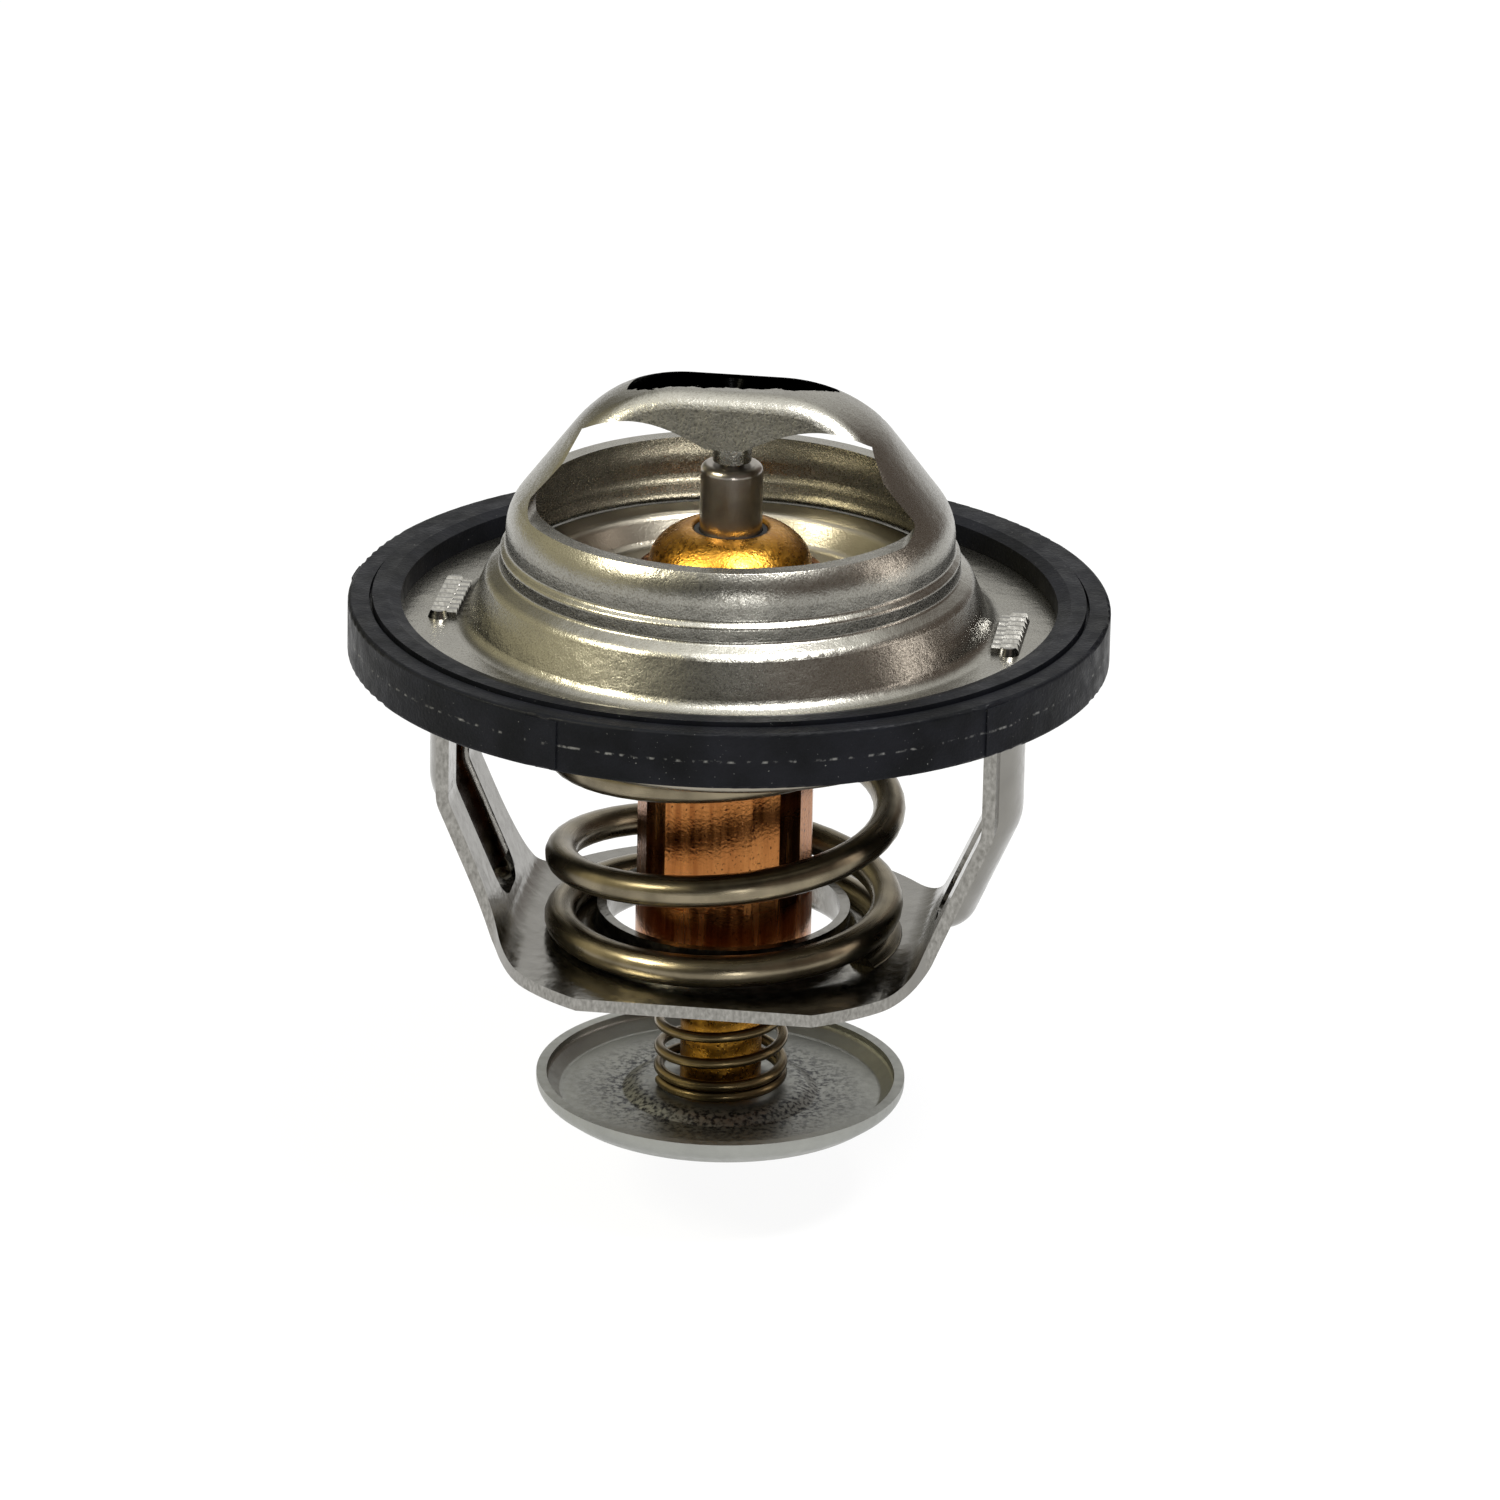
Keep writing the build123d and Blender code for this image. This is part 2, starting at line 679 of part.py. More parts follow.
valve_hub_top = cup_flange_bottom - fitted_gap
ring_span = valve_crown_outer - cup_radius
valve_outline = [
    (valve_skirt_radius - valve_lip_reach, valve_skirt_bottom),
    (valve_skirt_radius, valve_skirt_bottom),
    (valve_skirt_radius, valve_seat_height),
    (valve_crown_outer, valve_crown_height),
    (cup_radius + ring_span * valve_crown_inner_share, valve_crown_height),
    (cup_radius + ring_span * valve_trough_outer_share, valve_trough_height),
    (cup_radius + ring_span * valve_trough_inner_share, valve_trough_height),
    (cup_radius + ring_span * valve_hub_share, valve_hub_top),
    (cup_radius + fitted_gap, valve_hub_top),
]
valve_blends = [valve_lip_blend, valve_seat_blend] + [valve_ring_blend] * 5
valve_section = sheet_profile(valve_outline, valve_blends, valve_sheet, Side.LEFT)

with BuildPart() as main_valve:
    add(valve_section)
    revolve(axis=Axis.Z)
main_valve.part.label = "main_valve"


def coil(mean_radius, wire, foot, head, tip_turn, end_turns, ramp_turns, active_turns, end_rise, tip_cut):
    """Right-handed compression spring between two flat seats, with closed and ground ends.

    The coil climbs by end_rise a turn in its closed ends, and tip_cut is ground off each tip.
    """
    turns = active_turns + end_turns * 2
    low = foot + wire / 2
    high = head - wire / 2

    def opening(turn):
        """Share of the full pitch that the coil has reached, counted from its nearer end."""
        inward = min(turn, turns - turn) - end_turns
        return min(max(inward / ramp_turns + 1 / 2, 0), 1)

    steps = round(turns * spring_point_count)
    opened = [0]
    for step in range(steps):
        opened.append(opened[-1] + opening((step + 1 / 2) * turns / steps))
    climb = high - low - end_rise * turns
    points = []
    for step in range(steps + 1):
        turn = step * turns / steps
        height = low + end_rise * turn + climb * opened[step] / opened[-1]
        ground = tip_cut * max(0, 1 - min(turn, turns - turn) / (end_turns * 2 / 3))
        height += ground if turn > turns / 2 else -ground
        bearing = radians(tip_turn) + turn * 2 * pi
        points.append((mean_radius * cos(bearing), mean_radius * sin(bearing), height))
    with BuildPart() as wound:
        with BuildLine() as route:
            Spline(*points)
        with BuildSketch(Plane(origin=route.line @ 0, x_dir=(0, 0, 1), z_dir=route.line % 0)):
            Circle(wire / 2)
        sweep(path=route.line, is_frenet=True)
        split(bisect_by=Plane.XY.offset(foot + fitted_gap), keep=Keep.TOP)
        split(bisect_by=Plane.XY.offset(head - fitted_gap), keep=Keep.BOTTOM)
    return wound.part


# Main spring, from the plate of the lower frame to the trough of the valve

spring_head = valve_trough_height - valve_sheet
main_coil = coil(spring_mean_radius, spring_wire, plate_top, spring_head, spring_tip_turn,
                 spring_end_turns, spring_ramp_turns, spring_active_turns, 0, spring_tip_cut)

with BuildPart() as main_spring:
    add(main_coil)
main_spring.part.label = "main_spring"

# Bypass valve: disc, stem, clip and spring

boss_bottom = disc_base + disc_boss_rise
boss_top = boss_bottom + disc_sheet
clip_top = boss_bottom - fitted_gap * 2
clip_foot = clip_top - clip_thickness
stem_foot = (clip_foot + disc_base) / 2

with BuildPart() as bypass_stem:
    add(ring_profile(
        (0, stem_foot),
        (stem_radius, stem_foot),
        (stem_radius, clip_foot - fitted_gap),
        (stem_groove_radius, clip_foot - fitted_gap),
        (stem_groove_radius, clip_top + fitted_gap),
        (stem_radius, clip_top + fitted_gap),
        (stem_radius, cup_bottom - fitted_gap),
        (0, cup_bottom - fitted_gap),
    ))
    revolve(axis=Axis.Z)
bypass_stem.part.label = "bypass_stem"

with BuildPart() as stem_clip:
    with BuildSketch(Plane.XY.offset(clip_foot)):
        Circle(clip_radius)
        Circle(stem_groove_radius + fitted_gap, mode=Mode.SUBTRACT)
        Rectangle(clip_radius, clip_opening, align=(Align.MIN, Align.CENTER), mode=Mode.SUBTRACT)
    extrude(amount=clip_thickness)
stem_clip.part.label = "stem_clip"

disc_outline = [
    (disc_radius, disc_base + disc_rim_height),
    (disc_radius, disc_base + disc_knee_height),
    (disc_foot_radius, disc_base),
    (disc_boss_radius + disc_boss_lean, disc_base),
    (disc_boss_radius, boss_bottom),
    (stem_radius + running_gap, boss_bottom),
]

disc_blends = [disc_rim_blend, disc_rim_blend, disc_boss_blend, disc_boss_blend]
disc_section = sheet_profile(disc_outline, disc_blends, disc_sheet)

with BuildPart() as bypass_valve:
    add(disc_section)
    revolve(axis=Axis.Z)
bypass_valve.part.label = "bypass_valve"

bypass_coil = coil(bypass_mean_radius, bypass_wire, boss_top, cup_bottom, bypass_tip_turn,
                   bypass_end_turns, bypass_ramp_turns, bypass_active_turns, bypass_end_rise, 0)

with BuildPart() as bypass_spring:
    add(bypass_coil)
bypass_spring.part.label = "bypass_spring"

os.makedirs("parts", exist_ok=True)
for piece in (bridge_frame, gasket, lower_frame, piston, main_spring, element_cover, wiper_seal,
              backing_ring, boot, wax_charge, wax_cup, main_valve, bypass_stem, stem_clip,
              bypass_spring, bypass_valve):
    export_step(piece.part, f"parts/{piece.part.label}.step")
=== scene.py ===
import json
from math import cos, pi, radians, sin

import bpy
from mathutils import Matrix, Vector


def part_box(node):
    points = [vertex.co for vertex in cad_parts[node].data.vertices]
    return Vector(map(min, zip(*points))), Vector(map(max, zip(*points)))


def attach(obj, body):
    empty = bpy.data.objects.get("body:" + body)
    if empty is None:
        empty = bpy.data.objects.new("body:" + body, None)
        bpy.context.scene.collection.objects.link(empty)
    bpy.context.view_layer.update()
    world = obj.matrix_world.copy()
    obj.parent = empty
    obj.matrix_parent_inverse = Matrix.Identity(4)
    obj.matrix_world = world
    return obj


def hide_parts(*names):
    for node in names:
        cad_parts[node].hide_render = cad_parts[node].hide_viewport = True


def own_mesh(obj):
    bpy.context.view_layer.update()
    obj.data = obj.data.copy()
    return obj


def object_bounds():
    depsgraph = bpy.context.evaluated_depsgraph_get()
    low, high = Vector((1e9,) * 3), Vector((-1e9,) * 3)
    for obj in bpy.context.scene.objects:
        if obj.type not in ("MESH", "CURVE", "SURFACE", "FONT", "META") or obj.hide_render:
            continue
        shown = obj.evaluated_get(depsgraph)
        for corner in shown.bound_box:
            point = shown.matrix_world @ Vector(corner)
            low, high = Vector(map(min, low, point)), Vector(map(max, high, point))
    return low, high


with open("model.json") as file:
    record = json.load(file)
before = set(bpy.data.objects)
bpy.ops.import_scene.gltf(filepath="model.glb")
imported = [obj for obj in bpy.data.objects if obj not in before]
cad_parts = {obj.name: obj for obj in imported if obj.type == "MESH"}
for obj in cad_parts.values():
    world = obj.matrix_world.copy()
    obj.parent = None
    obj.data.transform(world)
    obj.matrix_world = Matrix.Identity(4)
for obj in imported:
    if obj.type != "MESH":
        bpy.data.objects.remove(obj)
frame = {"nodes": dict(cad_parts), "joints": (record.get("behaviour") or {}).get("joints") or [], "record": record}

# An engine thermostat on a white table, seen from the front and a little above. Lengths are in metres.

MM = 0.001
CAD_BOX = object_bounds()
NODES = frame["nodes"]
TRAVEL = {joint["name"]: joint["range_m"][1] for joint in frame["joints"]}

# Camera, as the photo was taken
VIEW_TURN = 7.5                 # degrees round the axis from straight ahead
VIEW_DROP = 21.0966             # degrees that the camera looks down
VIEW_ROLL = 1.158               # degrees that the camera leans
VIEW_DISTANCE = 0.71523
VIEW_LENS = 220.65              # focal length and film width in mm
VIEW_FILM = 36
VIEW_SIDE = 1.8211 * MM         # the point looked at, beside the axis
VIEW_HEIGHT = -10.349 * MM

# Main spring. Bearings are in turns.
SPRING_WIRE = 2.5 * MM
SPRING_TIP = -25 / 360          # bearing of the lower end
SPRING_OPEN_TURNS = 2.8
SPRING_END_TURNS = 1.0
SPRING_RAMP_TURNS = 0.9         # over which an end opens to the full pitch
SPRING_TIP_CUT = 1.8 * MM       # how far a tip dips into its seat before it is ground

# Bypass spring
BYPASS_WIRE = 0.85 * MM
BYPASS_TIP = 200 / 360
BYPASS_OPEN_TURNS = 2.6
BYPASS_END_TURNS = 1.4
BYPASS_RAMP_TURNS = 0.3
BYPASS_END_RISE = 0.9 * MM      # rise of an end per turn

# Both springs
COIL_STEPS_PER_TURN = 48
WIRE_SIDES = 24
TIP_SHARE = 2 / 3               # share of an end that dips
SEAT_GAP = 0.02 * MM            # between a ground end and its seat

# Black paint on the crest of the bridge
PAINT_MIDDLE = -0.6 * MM
PAINT_HALF = 7.8 * MM
PAINT_FRONT = -0.7 * MM
PAINT_LOW = 18.85 * MM
PAINT_LEAN = -0.1               # the front edge runs back towards the right
PAINT_TAPER = -1.2              # the ends run out towards the back
PAINT_FRAY = 0.9 * MM

# Lower frame. Shade is painted into the channels of its arms, where they face the axis.
CHANNEL_INNER = 5.0 * MM        # the least distance from the axis times the share that faces it
CHANNEL_HALF = 3.0 * MM
CHANNEL_END = -22.4 * MM
EDGE_OUT = 5.5 * MM             # the sheared edges lie farther out than this, and the heads above the flange

# Seal
SEAL_EDGE = 29.2 * MM           # outer wall
SEAL_DUST = 0.28                # share of the dust's own colour

# White table
TABLE_REACH = 6.0
TABLE_GLOW = 0.92               # share that shines by itself, where it shows

# Overhead light, as the metal shows it
OVERHEAD = (1.7, 1.7, 1.65, 1)
SOFT_LIGHT = 0.6                # strength of the room on matt surfaces


def linear(hex_code):
    """Linear colour of an sRGB hex code such as #8f8c84."""
    channels = [int(hex_code[i:i + 2], 16) / 255 for i in (1, 3, 5)]
    return (*[c / 12.92 if c <= 0.04045 else ((c + 0.055) / 1.055) ** 2.4 for c in channels], 1)


def add(tree, kind, inputs=None, **settings):
    """Adds a node to a tree with its settings. Each input is a value, a socket, or a node, whose first output in use
    is linked."""
    node = tree.nodes.new(kind)
    for name, value in settings.items():
        setattr(node, name, value)
    for key, value in (inputs or {}).items():
        if isinstance(value, bpy.types.Node):
            value = next(socket for socket in value.outputs if not socket.is_unavailable)
        if isinstance(value, bpy.types.NodeSocket):
            tree.links.new(value, node.inputs[key])
        else:
            node.inputs[key].default_value = value
    return node


def grain_tree():
    """Node tree of a noise on the piece's own coordinates: grains of a real size, spread between two values, and
    longer along the axes with more stretch."""
    tree = bpy.data.node_groups.new("grain", "ShaderNodeTree")
    usual = {"Size": MM, "Detail": 3.0, "Low": 0.35, "High": 0.65}
    for name, value in usual.items():
        socket = tree.interface.new_socket(name, in_out="INPUT", socket_type="NodeSocketFloat")
        socket.default_value = value
    stretch = tree.interface.new_socket("Stretch", in_out="INPUT", socket_type="NodeSocketVector")
    stretch.default_value = (1, 1, 1)
    tree.interface.new_socket("Value", in_out="OUTPUT", socket_type="NodeSocketFloat")
    given = add(tree, "NodeGroupInput").outputs
    place = add(tree, "ShaderNodeTexCoord").outputs["Object"]
    lay = add(tree, "ShaderNodeVectorMath", {0: place, 1: given["Stretch"]}, operation="DIVIDE")
    scale = add(tree, "ShaderNodeMath", {0: 1.0, 1: given["Size"]}, operation="DIVIDE")
    noise = add(tree, "ShaderNodeTexNoise", {"Vector": lay, "Scale": scale, "Detail": given["Detail"]})
    spread = add(tree, "ShaderNodeMapRange", {"Value": noise, "From Min": given["Low"], "From Max": given["High"]})
    add(tree, "NodeGroupOutput", {"Value": spread})
    return tree


GRAIN = grain_tree()


def new_finish(name):
    """Material without nodes, and its tree."""
    material = bpy.data.materials.new(name)
    material.use_nodes = True
    material.node_tree.nodes.clear()
    return material, material.node_tree


def drawn_stainless():
    """Deep drawn stainless sheet: satin grey with a fine sparkle, and black paint left on the crest."""
    material, tree = new_finish("drawn stainless")
    clouds = add(tree, "ShaderNodeGroup", {"Size": 5 * MM, "Detail": 4}, node_tree=GRAIN)
    fine = add(tree, "ShaderNodeGroup", {"Size": 0.16 * MM, "Low": 0.3, "High": 0.7}, node_tree=GRAIN)
    pits = add(tree, "ShaderNodeGroup", {"Size": 0.16 * MM, "Low": 0.5, "High": 0.75, "Detail": 2}, node_tree=GRAIN)
    tone = add(tree, "ShaderNodeMix", {0: clouds, 6: linear("#908e87"), 7: linear("#9c9a92")}, data_type="RGBA")
    dull = add(tree, "ShaderNodeMix", {0: pits, 6: tone, 7: linear("#78746c")}, data_type="RGBA")
    # The paint lies on top of the crest, frays at the front and tapers at both ends
    place = add(tree, "ShaderNodeTexCoord").outputs["Object"]
    at = add(tree, "ShaderNodeSeparateXYZ", {"Vector": place}).outputs
    flakes = add(tree, "ShaderNodeGroup", {"Size": 1.2 * MM, "Low": 0.3, "High": 0.7, "Detail": 5}, node_tree=GRAIN)
    torn = add(tree, "ShaderNodeMath", {0: flakes, 1: PAINT_FRAY}, operation="MULTIPLY")
    leaning = add(tree, "ShaderNodeMath", {0: at["X"], 1: PAINT_LEAN, 2: at["Y"]}, operation="MULTIPLY_ADD")
    front = add(tree, "ShaderNodeMath", {0: leaning, 1: torn}, operation="ADD")
    behind = add(tree, "ShaderNodeMath", {0: front, 1: PAINT_FRONT}, operation="GREATER_THAN")
    side = add(tree, "ShaderNodeMath", {0: at["X"], 1: PAINT_MIDDLE}, operation="SUBTRACT")
    away = add(tree, "ShaderNodeMath", {0: side}, operation="ABSOLUTE")
    tapered = add(tree, "ShaderNodeMath", {0: leaning, 1: PAINT_TAPER, 2: away}, operation="MULTIPLY_ADD")
    ends = add(tree, "ShaderNodeMath", {0: tapered, 1: torn}, operation="ADD")
    within = add(tree, "ShaderNodeMath", {0: ends, 1: PAINT_HALF}, operation="LESS_THAN")
    high = add(tree, "ShaderNodeMath", {0: at["Z"], 1: PAINT_LOW}, operation="GREATER_THAN")
    on_top = add(tree, "ShaderNodeMath", {0: behind, 1: within}, operation="MULTIPLY")
    paint = add(tree, "ShaderNodeMath", {0: on_top, 1: high}, operation="MULTIPLY")
    body = add(tree, "ShaderNodeMix", {0: paint, 6: dull, 7: linear("#030303")}, data_type="RGBA")
    rim = add(tree, "ShaderNodeMix", {0: paint, 6: linear("#ffffff"), 7: linear("#000000")}, data_type="RGBA")
    rough = add(tree, "ShaderNodeMapRange", {"Value": fine, "To Min": 0.22, "To Max": 0.34})
    dents = add(tree, "ShaderNodeGroup", {"Size": 0.7 * MM}, node_tree=GRAIN)
    waves = add(tree, "ShaderNodeGroup", {"Size": 3 * MM}, node_tree=GRAIN)
    skin = add(tree, "ShaderNodeBump", {"Height": fine, "Distance": 0.007 * MM})
    skin = add(tree, "ShaderNodeBump", {"Height": dents, "Distance": 0.005 * MM, "Normal": skin})
    skin = add(tree, "ShaderNodeBump", {"Height": waves, "Distance": 0.03 * MM, "Normal": skin})
    surface = add(tree, "ShaderNodeBsdfPrincipled", {
        "Base Color": body, "Metallic": 1.0, "Roughness": rough, "Specular Tint": rim, "Normal": skin})
    add(tree, "ShaderNodeOutputMaterial", {"Surface": surface})
    return material


def moulded_rubber():
    """Moulded nitrile rubber: near black with a bluish bloom, dusty along the parting line of its mould."""
    material, tree = new_finish("moulded nitrile rubber")
    clouds = add(tree, "ShaderNodeGroup", {"Size": 4 * MM, "Detail": 5}, node_tree=GRAIN)
    bloom = add(tree, "ShaderNodeMix", {0: clouds, 6: linear("#08090b"), 7: linear("#0f1014")}, data_type="RGBA")
    # The parting line runs round the outer wall, halfway up
    place = add(tree, "ShaderNodeTexCoord").outputs["Object"]
    at = add(tree, "ShaderNodeSeparateXYZ", {"Vector": place}).outputs
    level = add(tree, "ShaderNodeMath", {0: at["Z"]}, operation="ABSOLUTE")
    line = add(tree, "ShaderNodeMapRange", {"Value": level, "From Min": 0.13 * MM, "From Max": 0.03 * MM})
    dashes = add(tree, "ShaderNodeGroup", {"Size": 0.7 * MM, "Low": 0.52, "High": 0.66, "Detail": 5}, node_tree=GRAIN)
    broken = add(tree, "ShaderNodeMath", {0: line, 1: dashes}, operation="MULTIPLY")
    ring = add(tree, "ShaderNodeVectorMath", {0: place, 1: (1, 1, 0)}, operation="MULTIPLY")
    reach = add(tree, "ShaderNodeVectorMath", {0: ring}, operation="LENGTH")
    outside = add(tree, "ShaderNodeMath", {0: reach, 1: SEAL_EDGE}, operation="GREATER_THAN")
    parting = add(tree, "ShaderNodeMath", {0: broken, 1: outside}, operation="MULTIPLY")
    specks = add(tree, "ShaderNodeGroup", {"Size": 0.2 * MM, "Low": 0.76, "High": 0.82, "Detail": 1}, node_tree=GRAIN)
    dust = add(tree, "ShaderNodeMath", {0: parting, 1: specks}, operation="MAXIMUM")
    faint = add(tree, "ShaderNodeMath", {0: dust, 1: SEAL_DUST}, operation="MULTIPLY")
    body = add(tree, "ShaderNodeMix", {0: faint, 6: bloom, 7: linear("#9a9a97")}, data_type="RGBA")
    sheen = add(tree, "ShaderNodeGroup", {"Size": 1.5 * MM, "Detail": 4}, node_tree=GRAIN)
    rough = add(tree, "ShaderNodeMapRange", {"Value": sheen, "To Min": 0.34, "To Max": 0.5})
    fine = add(tree, "ShaderNodeGroup", {"Size": 0.3 * MM, "Detail": 4}, node_tree=GRAIN)
    skin = add(tree, "ShaderNodeBump", {"Height": fine, "Distance": 0.012 * MM})
    surface = add(tree, "ShaderNodeBsdfPrincipled", {
        "Base Color": body, "Metallic": 0.0, "Roughness": rough, "Specular IOR Level": 0.06, "Normal": skin})
    add(tree, "ShaderNodeOutputMaterial", {"Surface": surface})
    return material


def rolled_strip():
    """Cold rolled steel strip: grey and smooth, with faint scuffs, bright torn edges and painted shade in its
    channels.
    """
    material, tree = new_finish("cold rolled strip")
    clouds = add(tree, "ShaderNodeGroup", {"Size": 3 * MM, "Low": 0.2, "High": 0.8, "Detail": 6}, node_tree=GRAIN)
    rolled = add(tree, "ShaderNodeMix", {0: clouds, 6: linear("#7c7a75"), 7: linear("#8c8a85")}, data_type="RGBA")
    coordinates = add(tree, "ShaderNodeTexCoord").outputs
    at = add(tree, "ShaderNodeSeparateXYZ", {"Vector": coordinates["Object"]}).outputs
    facing = add(tree, "ShaderNodeSeparateXYZ", {"Vector": coordinates["Normal"]}).outputs
    aside = add(tree, "ShaderNodeMath", {0: at["Y"]}, operation="ABSOLUTE")
    # The outer edges and the staked heads are sheared: brighter, and torn in short upright lines
    turned = add(tree, "ShaderNodeMath", {0: facing["Y"]}, operation="ABSOLUTE")
    sideways = add(tree, "ShaderNodeMapRange", {"Value": turned, "From Min": 0.5, "From Max": 0.7})
    over = add(tree, "ShaderNodeMath", {0: at["Z"], 1: EDGE_OUT}, operation="ADD")
    outer = add(tree, "ShaderNodeMath", {0: aside, 1: over}, operation="MAXIMUM")
    at_edge = add(tree, "ShaderNodeMath", {0: outer, 1: EDGE_OUT}, operation="GREATER_THAN")
    sheared = add(tree, "ShaderNodeMath", {0: sideways, 1: at_edge}, operation="MULTIPLY")
    lines = add(tree, "ShaderNodeGroup",
                {"Size": 0.25 * MM, "Low": 0.25, "High": 0.75, "Detail": 4, "Stretch": (1, 1, 1.8)}, node_tree=GRAIN)
    torn = add(tree, "ShaderNodeMix", {0: lines, 6: linear("#73716c"), 7: linear("#9f9d98")}, data_type="RGBA")
    clean = add(tree, "ShaderNodeMix", {0: sheared, 6: rolled, 7: torn}, data_type="RGBA")
    # Painted shade darkens the channels, on the inner side of the arms
    inward = add(tree, "ShaderNodeMath", {0: at["X"], 1: facing["X"]}, operation="MULTIPLY")
    inner = add(tree, "ShaderNodeMath", {0: inward, 1: -CHANNEL_INNER}, operation="LESS_THAN")
    between_sides = add(tree, "ShaderNodeMath", {0: aside, 1: CHANNEL_HALF}, operation="LESS_THAN")
    above = add(tree, "ShaderNodeMath", {0: at["Z"], 1: CHANNEL_END}, operation="GREATER_THAN")
    hollow = add(tree, "ShaderNodeMath", {0: inner, 1: between_sides}, operation="MULTIPLY")
    channel = add(tree, "ShaderNodeMath", {0: hollow, 1: above}, operation="MULTIPLY")
    patches = add(tree, "ShaderNodeGroup", {"Size": 1.5 * MM}, node_tree=GRAIN)
    uneven = add(tree, "ShaderNodeMapRange", {"Value": patches, "To Min": 0.75, "To Max": 1.0})
    channel_shade = add(tree, "ShaderNodeMath", {0: channel, 1: uneven}, operation="MULTIPLY")
    # The channels are painted dark brown, as shade that falls in them
    body = add(tree, "ShaderNodeMix", {0: channel_shade, 6: clean, 7: linear("#241d17")}, data_type="RGBA")
    scuffs = add(tree, "ShaderNodeGroup", {"Size": 0.8 * MM, "Detail": 4}, node_tree=GRAIN)
    rough = add(tree, "ShaderNodeMapRange", {"Value": scuffs, "To Min": 0.13, "To Max": 0.26})
    fine = add(tree, "ShaderNodeGroup", {"Size": 0.25 * MM}, node_tree=GRAIN)
    skin = add(tree, "ShaderNodeBump", {"Height": fine, "Distance": 0.002 * MM})
    skin = add(tree, "ShaderNodeBump", {"Height": patches, "Distance": 0.012 * MM, "Normal": skin})
    surface = add(tree, "ShaderNodeBsdfPrincipled", {
        "Base Color": body, "Metallic": 1.0, "Roughness": rough, "Normal": skin})
    add(tree, "ShaderNodeOutputMaterial", {"Surface": surface})
    return material


def drawn_steel():
    """Drawn sheet of the main valve: satin, warmer than the bridge."""
    material, tree = new_finish("drawn steel")
    clouds = add(tree, "ShaderNodeGroup", {"Size": 3 * MM, "Low": 0.2, "High": 0.8, "Detail": 5}, node_tree=GRAIN)
    body = add(tree, "ShaderNodeMix", {0: clouds, 6: linear("#918b7e"), 7: linear("#9f998c")}, data_type="RGBA")
    fine = add(tree, "ShaderNodeGroup", {"Size": 0.2 * MM}, node_tree=GRAIN)
    skin = add(tree, "ShaderNodeBump", {"Height": fine, "Distance": 0.006 * MM})
    surface = add(tree, "ShaderNodeBsdfPrincipled", {
        "Base Color": body, "Metallic": 1.0, "Roughness": 0.3, "Normal": skin})
    add(tree, "ShaderNodeOutputMaterial", {"Surface": surface})
    return material


def ground_steel():
    """Ground steel of the piston: smoother than the sheets, with a clear shine down its sides."""
    material, tree = new_finish("ground steel")
    clouds = add(tree, "ShaderNodeGroup", {"Size": 2 * MM}, node_tree=GRAIN)
    body = add(tree, "ShaderNodeMix", {0: clouds, 6: linear("#9a948c"), 7: linear("#b2aca3")}, data_type="RGBA")
    fine = add(tree, "ShaderNodeGroup", {"Size": 0.2 * MM, "Stretch": (1, 1, 4)}, node_tree=GRAIN)
    skin = add(tree, "ShaderNodeBump", {"Height": fine, "Distance": 0.005 * MM})
    surface = add(tree, "ShaderNodeBsdfPrincipled", {
        "Base Color": body, "Metallic": 1.0, "Roughness": 0.28, "Normal": skin})
    add(tree, "ShaderNodeOutputMaterial", {"Surface": surface})
    return material


def spring_wire(name, dark, light):
    """Drawn spring wire: a bronze tempering tint with lines along the wire."""
    material, tree = new_finish(name)
    along = add(tree, "ShaderNodeAttribute", attribute_name="wire_along").outputs["Fac"]
    across = add(tree, "ShaderNodeAttribute", attribute_name="wire_round").outputs["Fac"]
    place = add(tree, "ShaderNodeCombineXYZ", {"X": along, "Y": across})
    lay = add(tree, "ShaderNodeVectorMath", {0: place, 1: (0.05, 1, 1)}, operation="MULTIPLY")
    lines = add(tree, "ShaderNodeTexNoise", {"Vector": lay, "Scale": 1 / (0.25 * MM), "Detail": 3.0})
    clouds = add(tree, "ShaderNodeGroup", {"Size": 3 * MM, "Detail": 4}, node_tree=GRAIN)
    body = add(tree, "ShaderNodeMix", {0: clouds, 6: linear(dark), 7: linear(light)}, data_type="RGBA")
    rough = add(tree, "ShaderNodeMapRange", {"Value": lines, "To Min": 0.16, "To Max": 0.42})
    skin = add(tree, "ShaderNodeBump", {"Height": lines, "Distance": 0.02 * MM})
    surface = add(tree, "ShaderNodeBsdfPrincipled", {
        "Base Color": body, "Metallic": 1.0, "Roughness": rough, "Normal": skin})
    add(tree, "ShaderNodeOutputMaterial", {"Surface": surface})
    return material


def pressed_brass():
    """Pressed brass of the element's cover and stem: gold, with a grainy skin."""
    material, tree = new_finish("pressed brass")
    clouds = add(tree, "ShaderNodeGroup", {"Size": 1.5 * MM, "Detail": 4}, node_tree=GRAIN)
    body = add(tree, "ShaderNodeMix", {0: clouds, 6: linear("#a47226"), 7: linear("#c28e38")}, data_type="RGBA")
    rubbed = add(tree, "ShaderNodeGroup", {"Size": 0.4 * MM}, node_tree=GRAIN)
    rough = add(tree, "ShaderNodeMapRange", {"Value": rubbed, "To Min": 0.24, "To Max": 0.38})
    fine = add(tree, "ShaderNodeGroup", {"Size": 0.25 * MM, "Detail": 4}, node_tree=GRAIN)
    skin = add(tree, "ShaderNodeBump", {"Height": fine, "Distance": 0.016 * MM})
    surface = add(tree, "ShaderNodeBsdfPrincipled", {
        "Base Color": body, "Metallic": 1.0, "Roughness": rough, "Normal": skin})
    add(tree, "ShaderNodeOutputMaterial", {"Surface": surface})
    return material


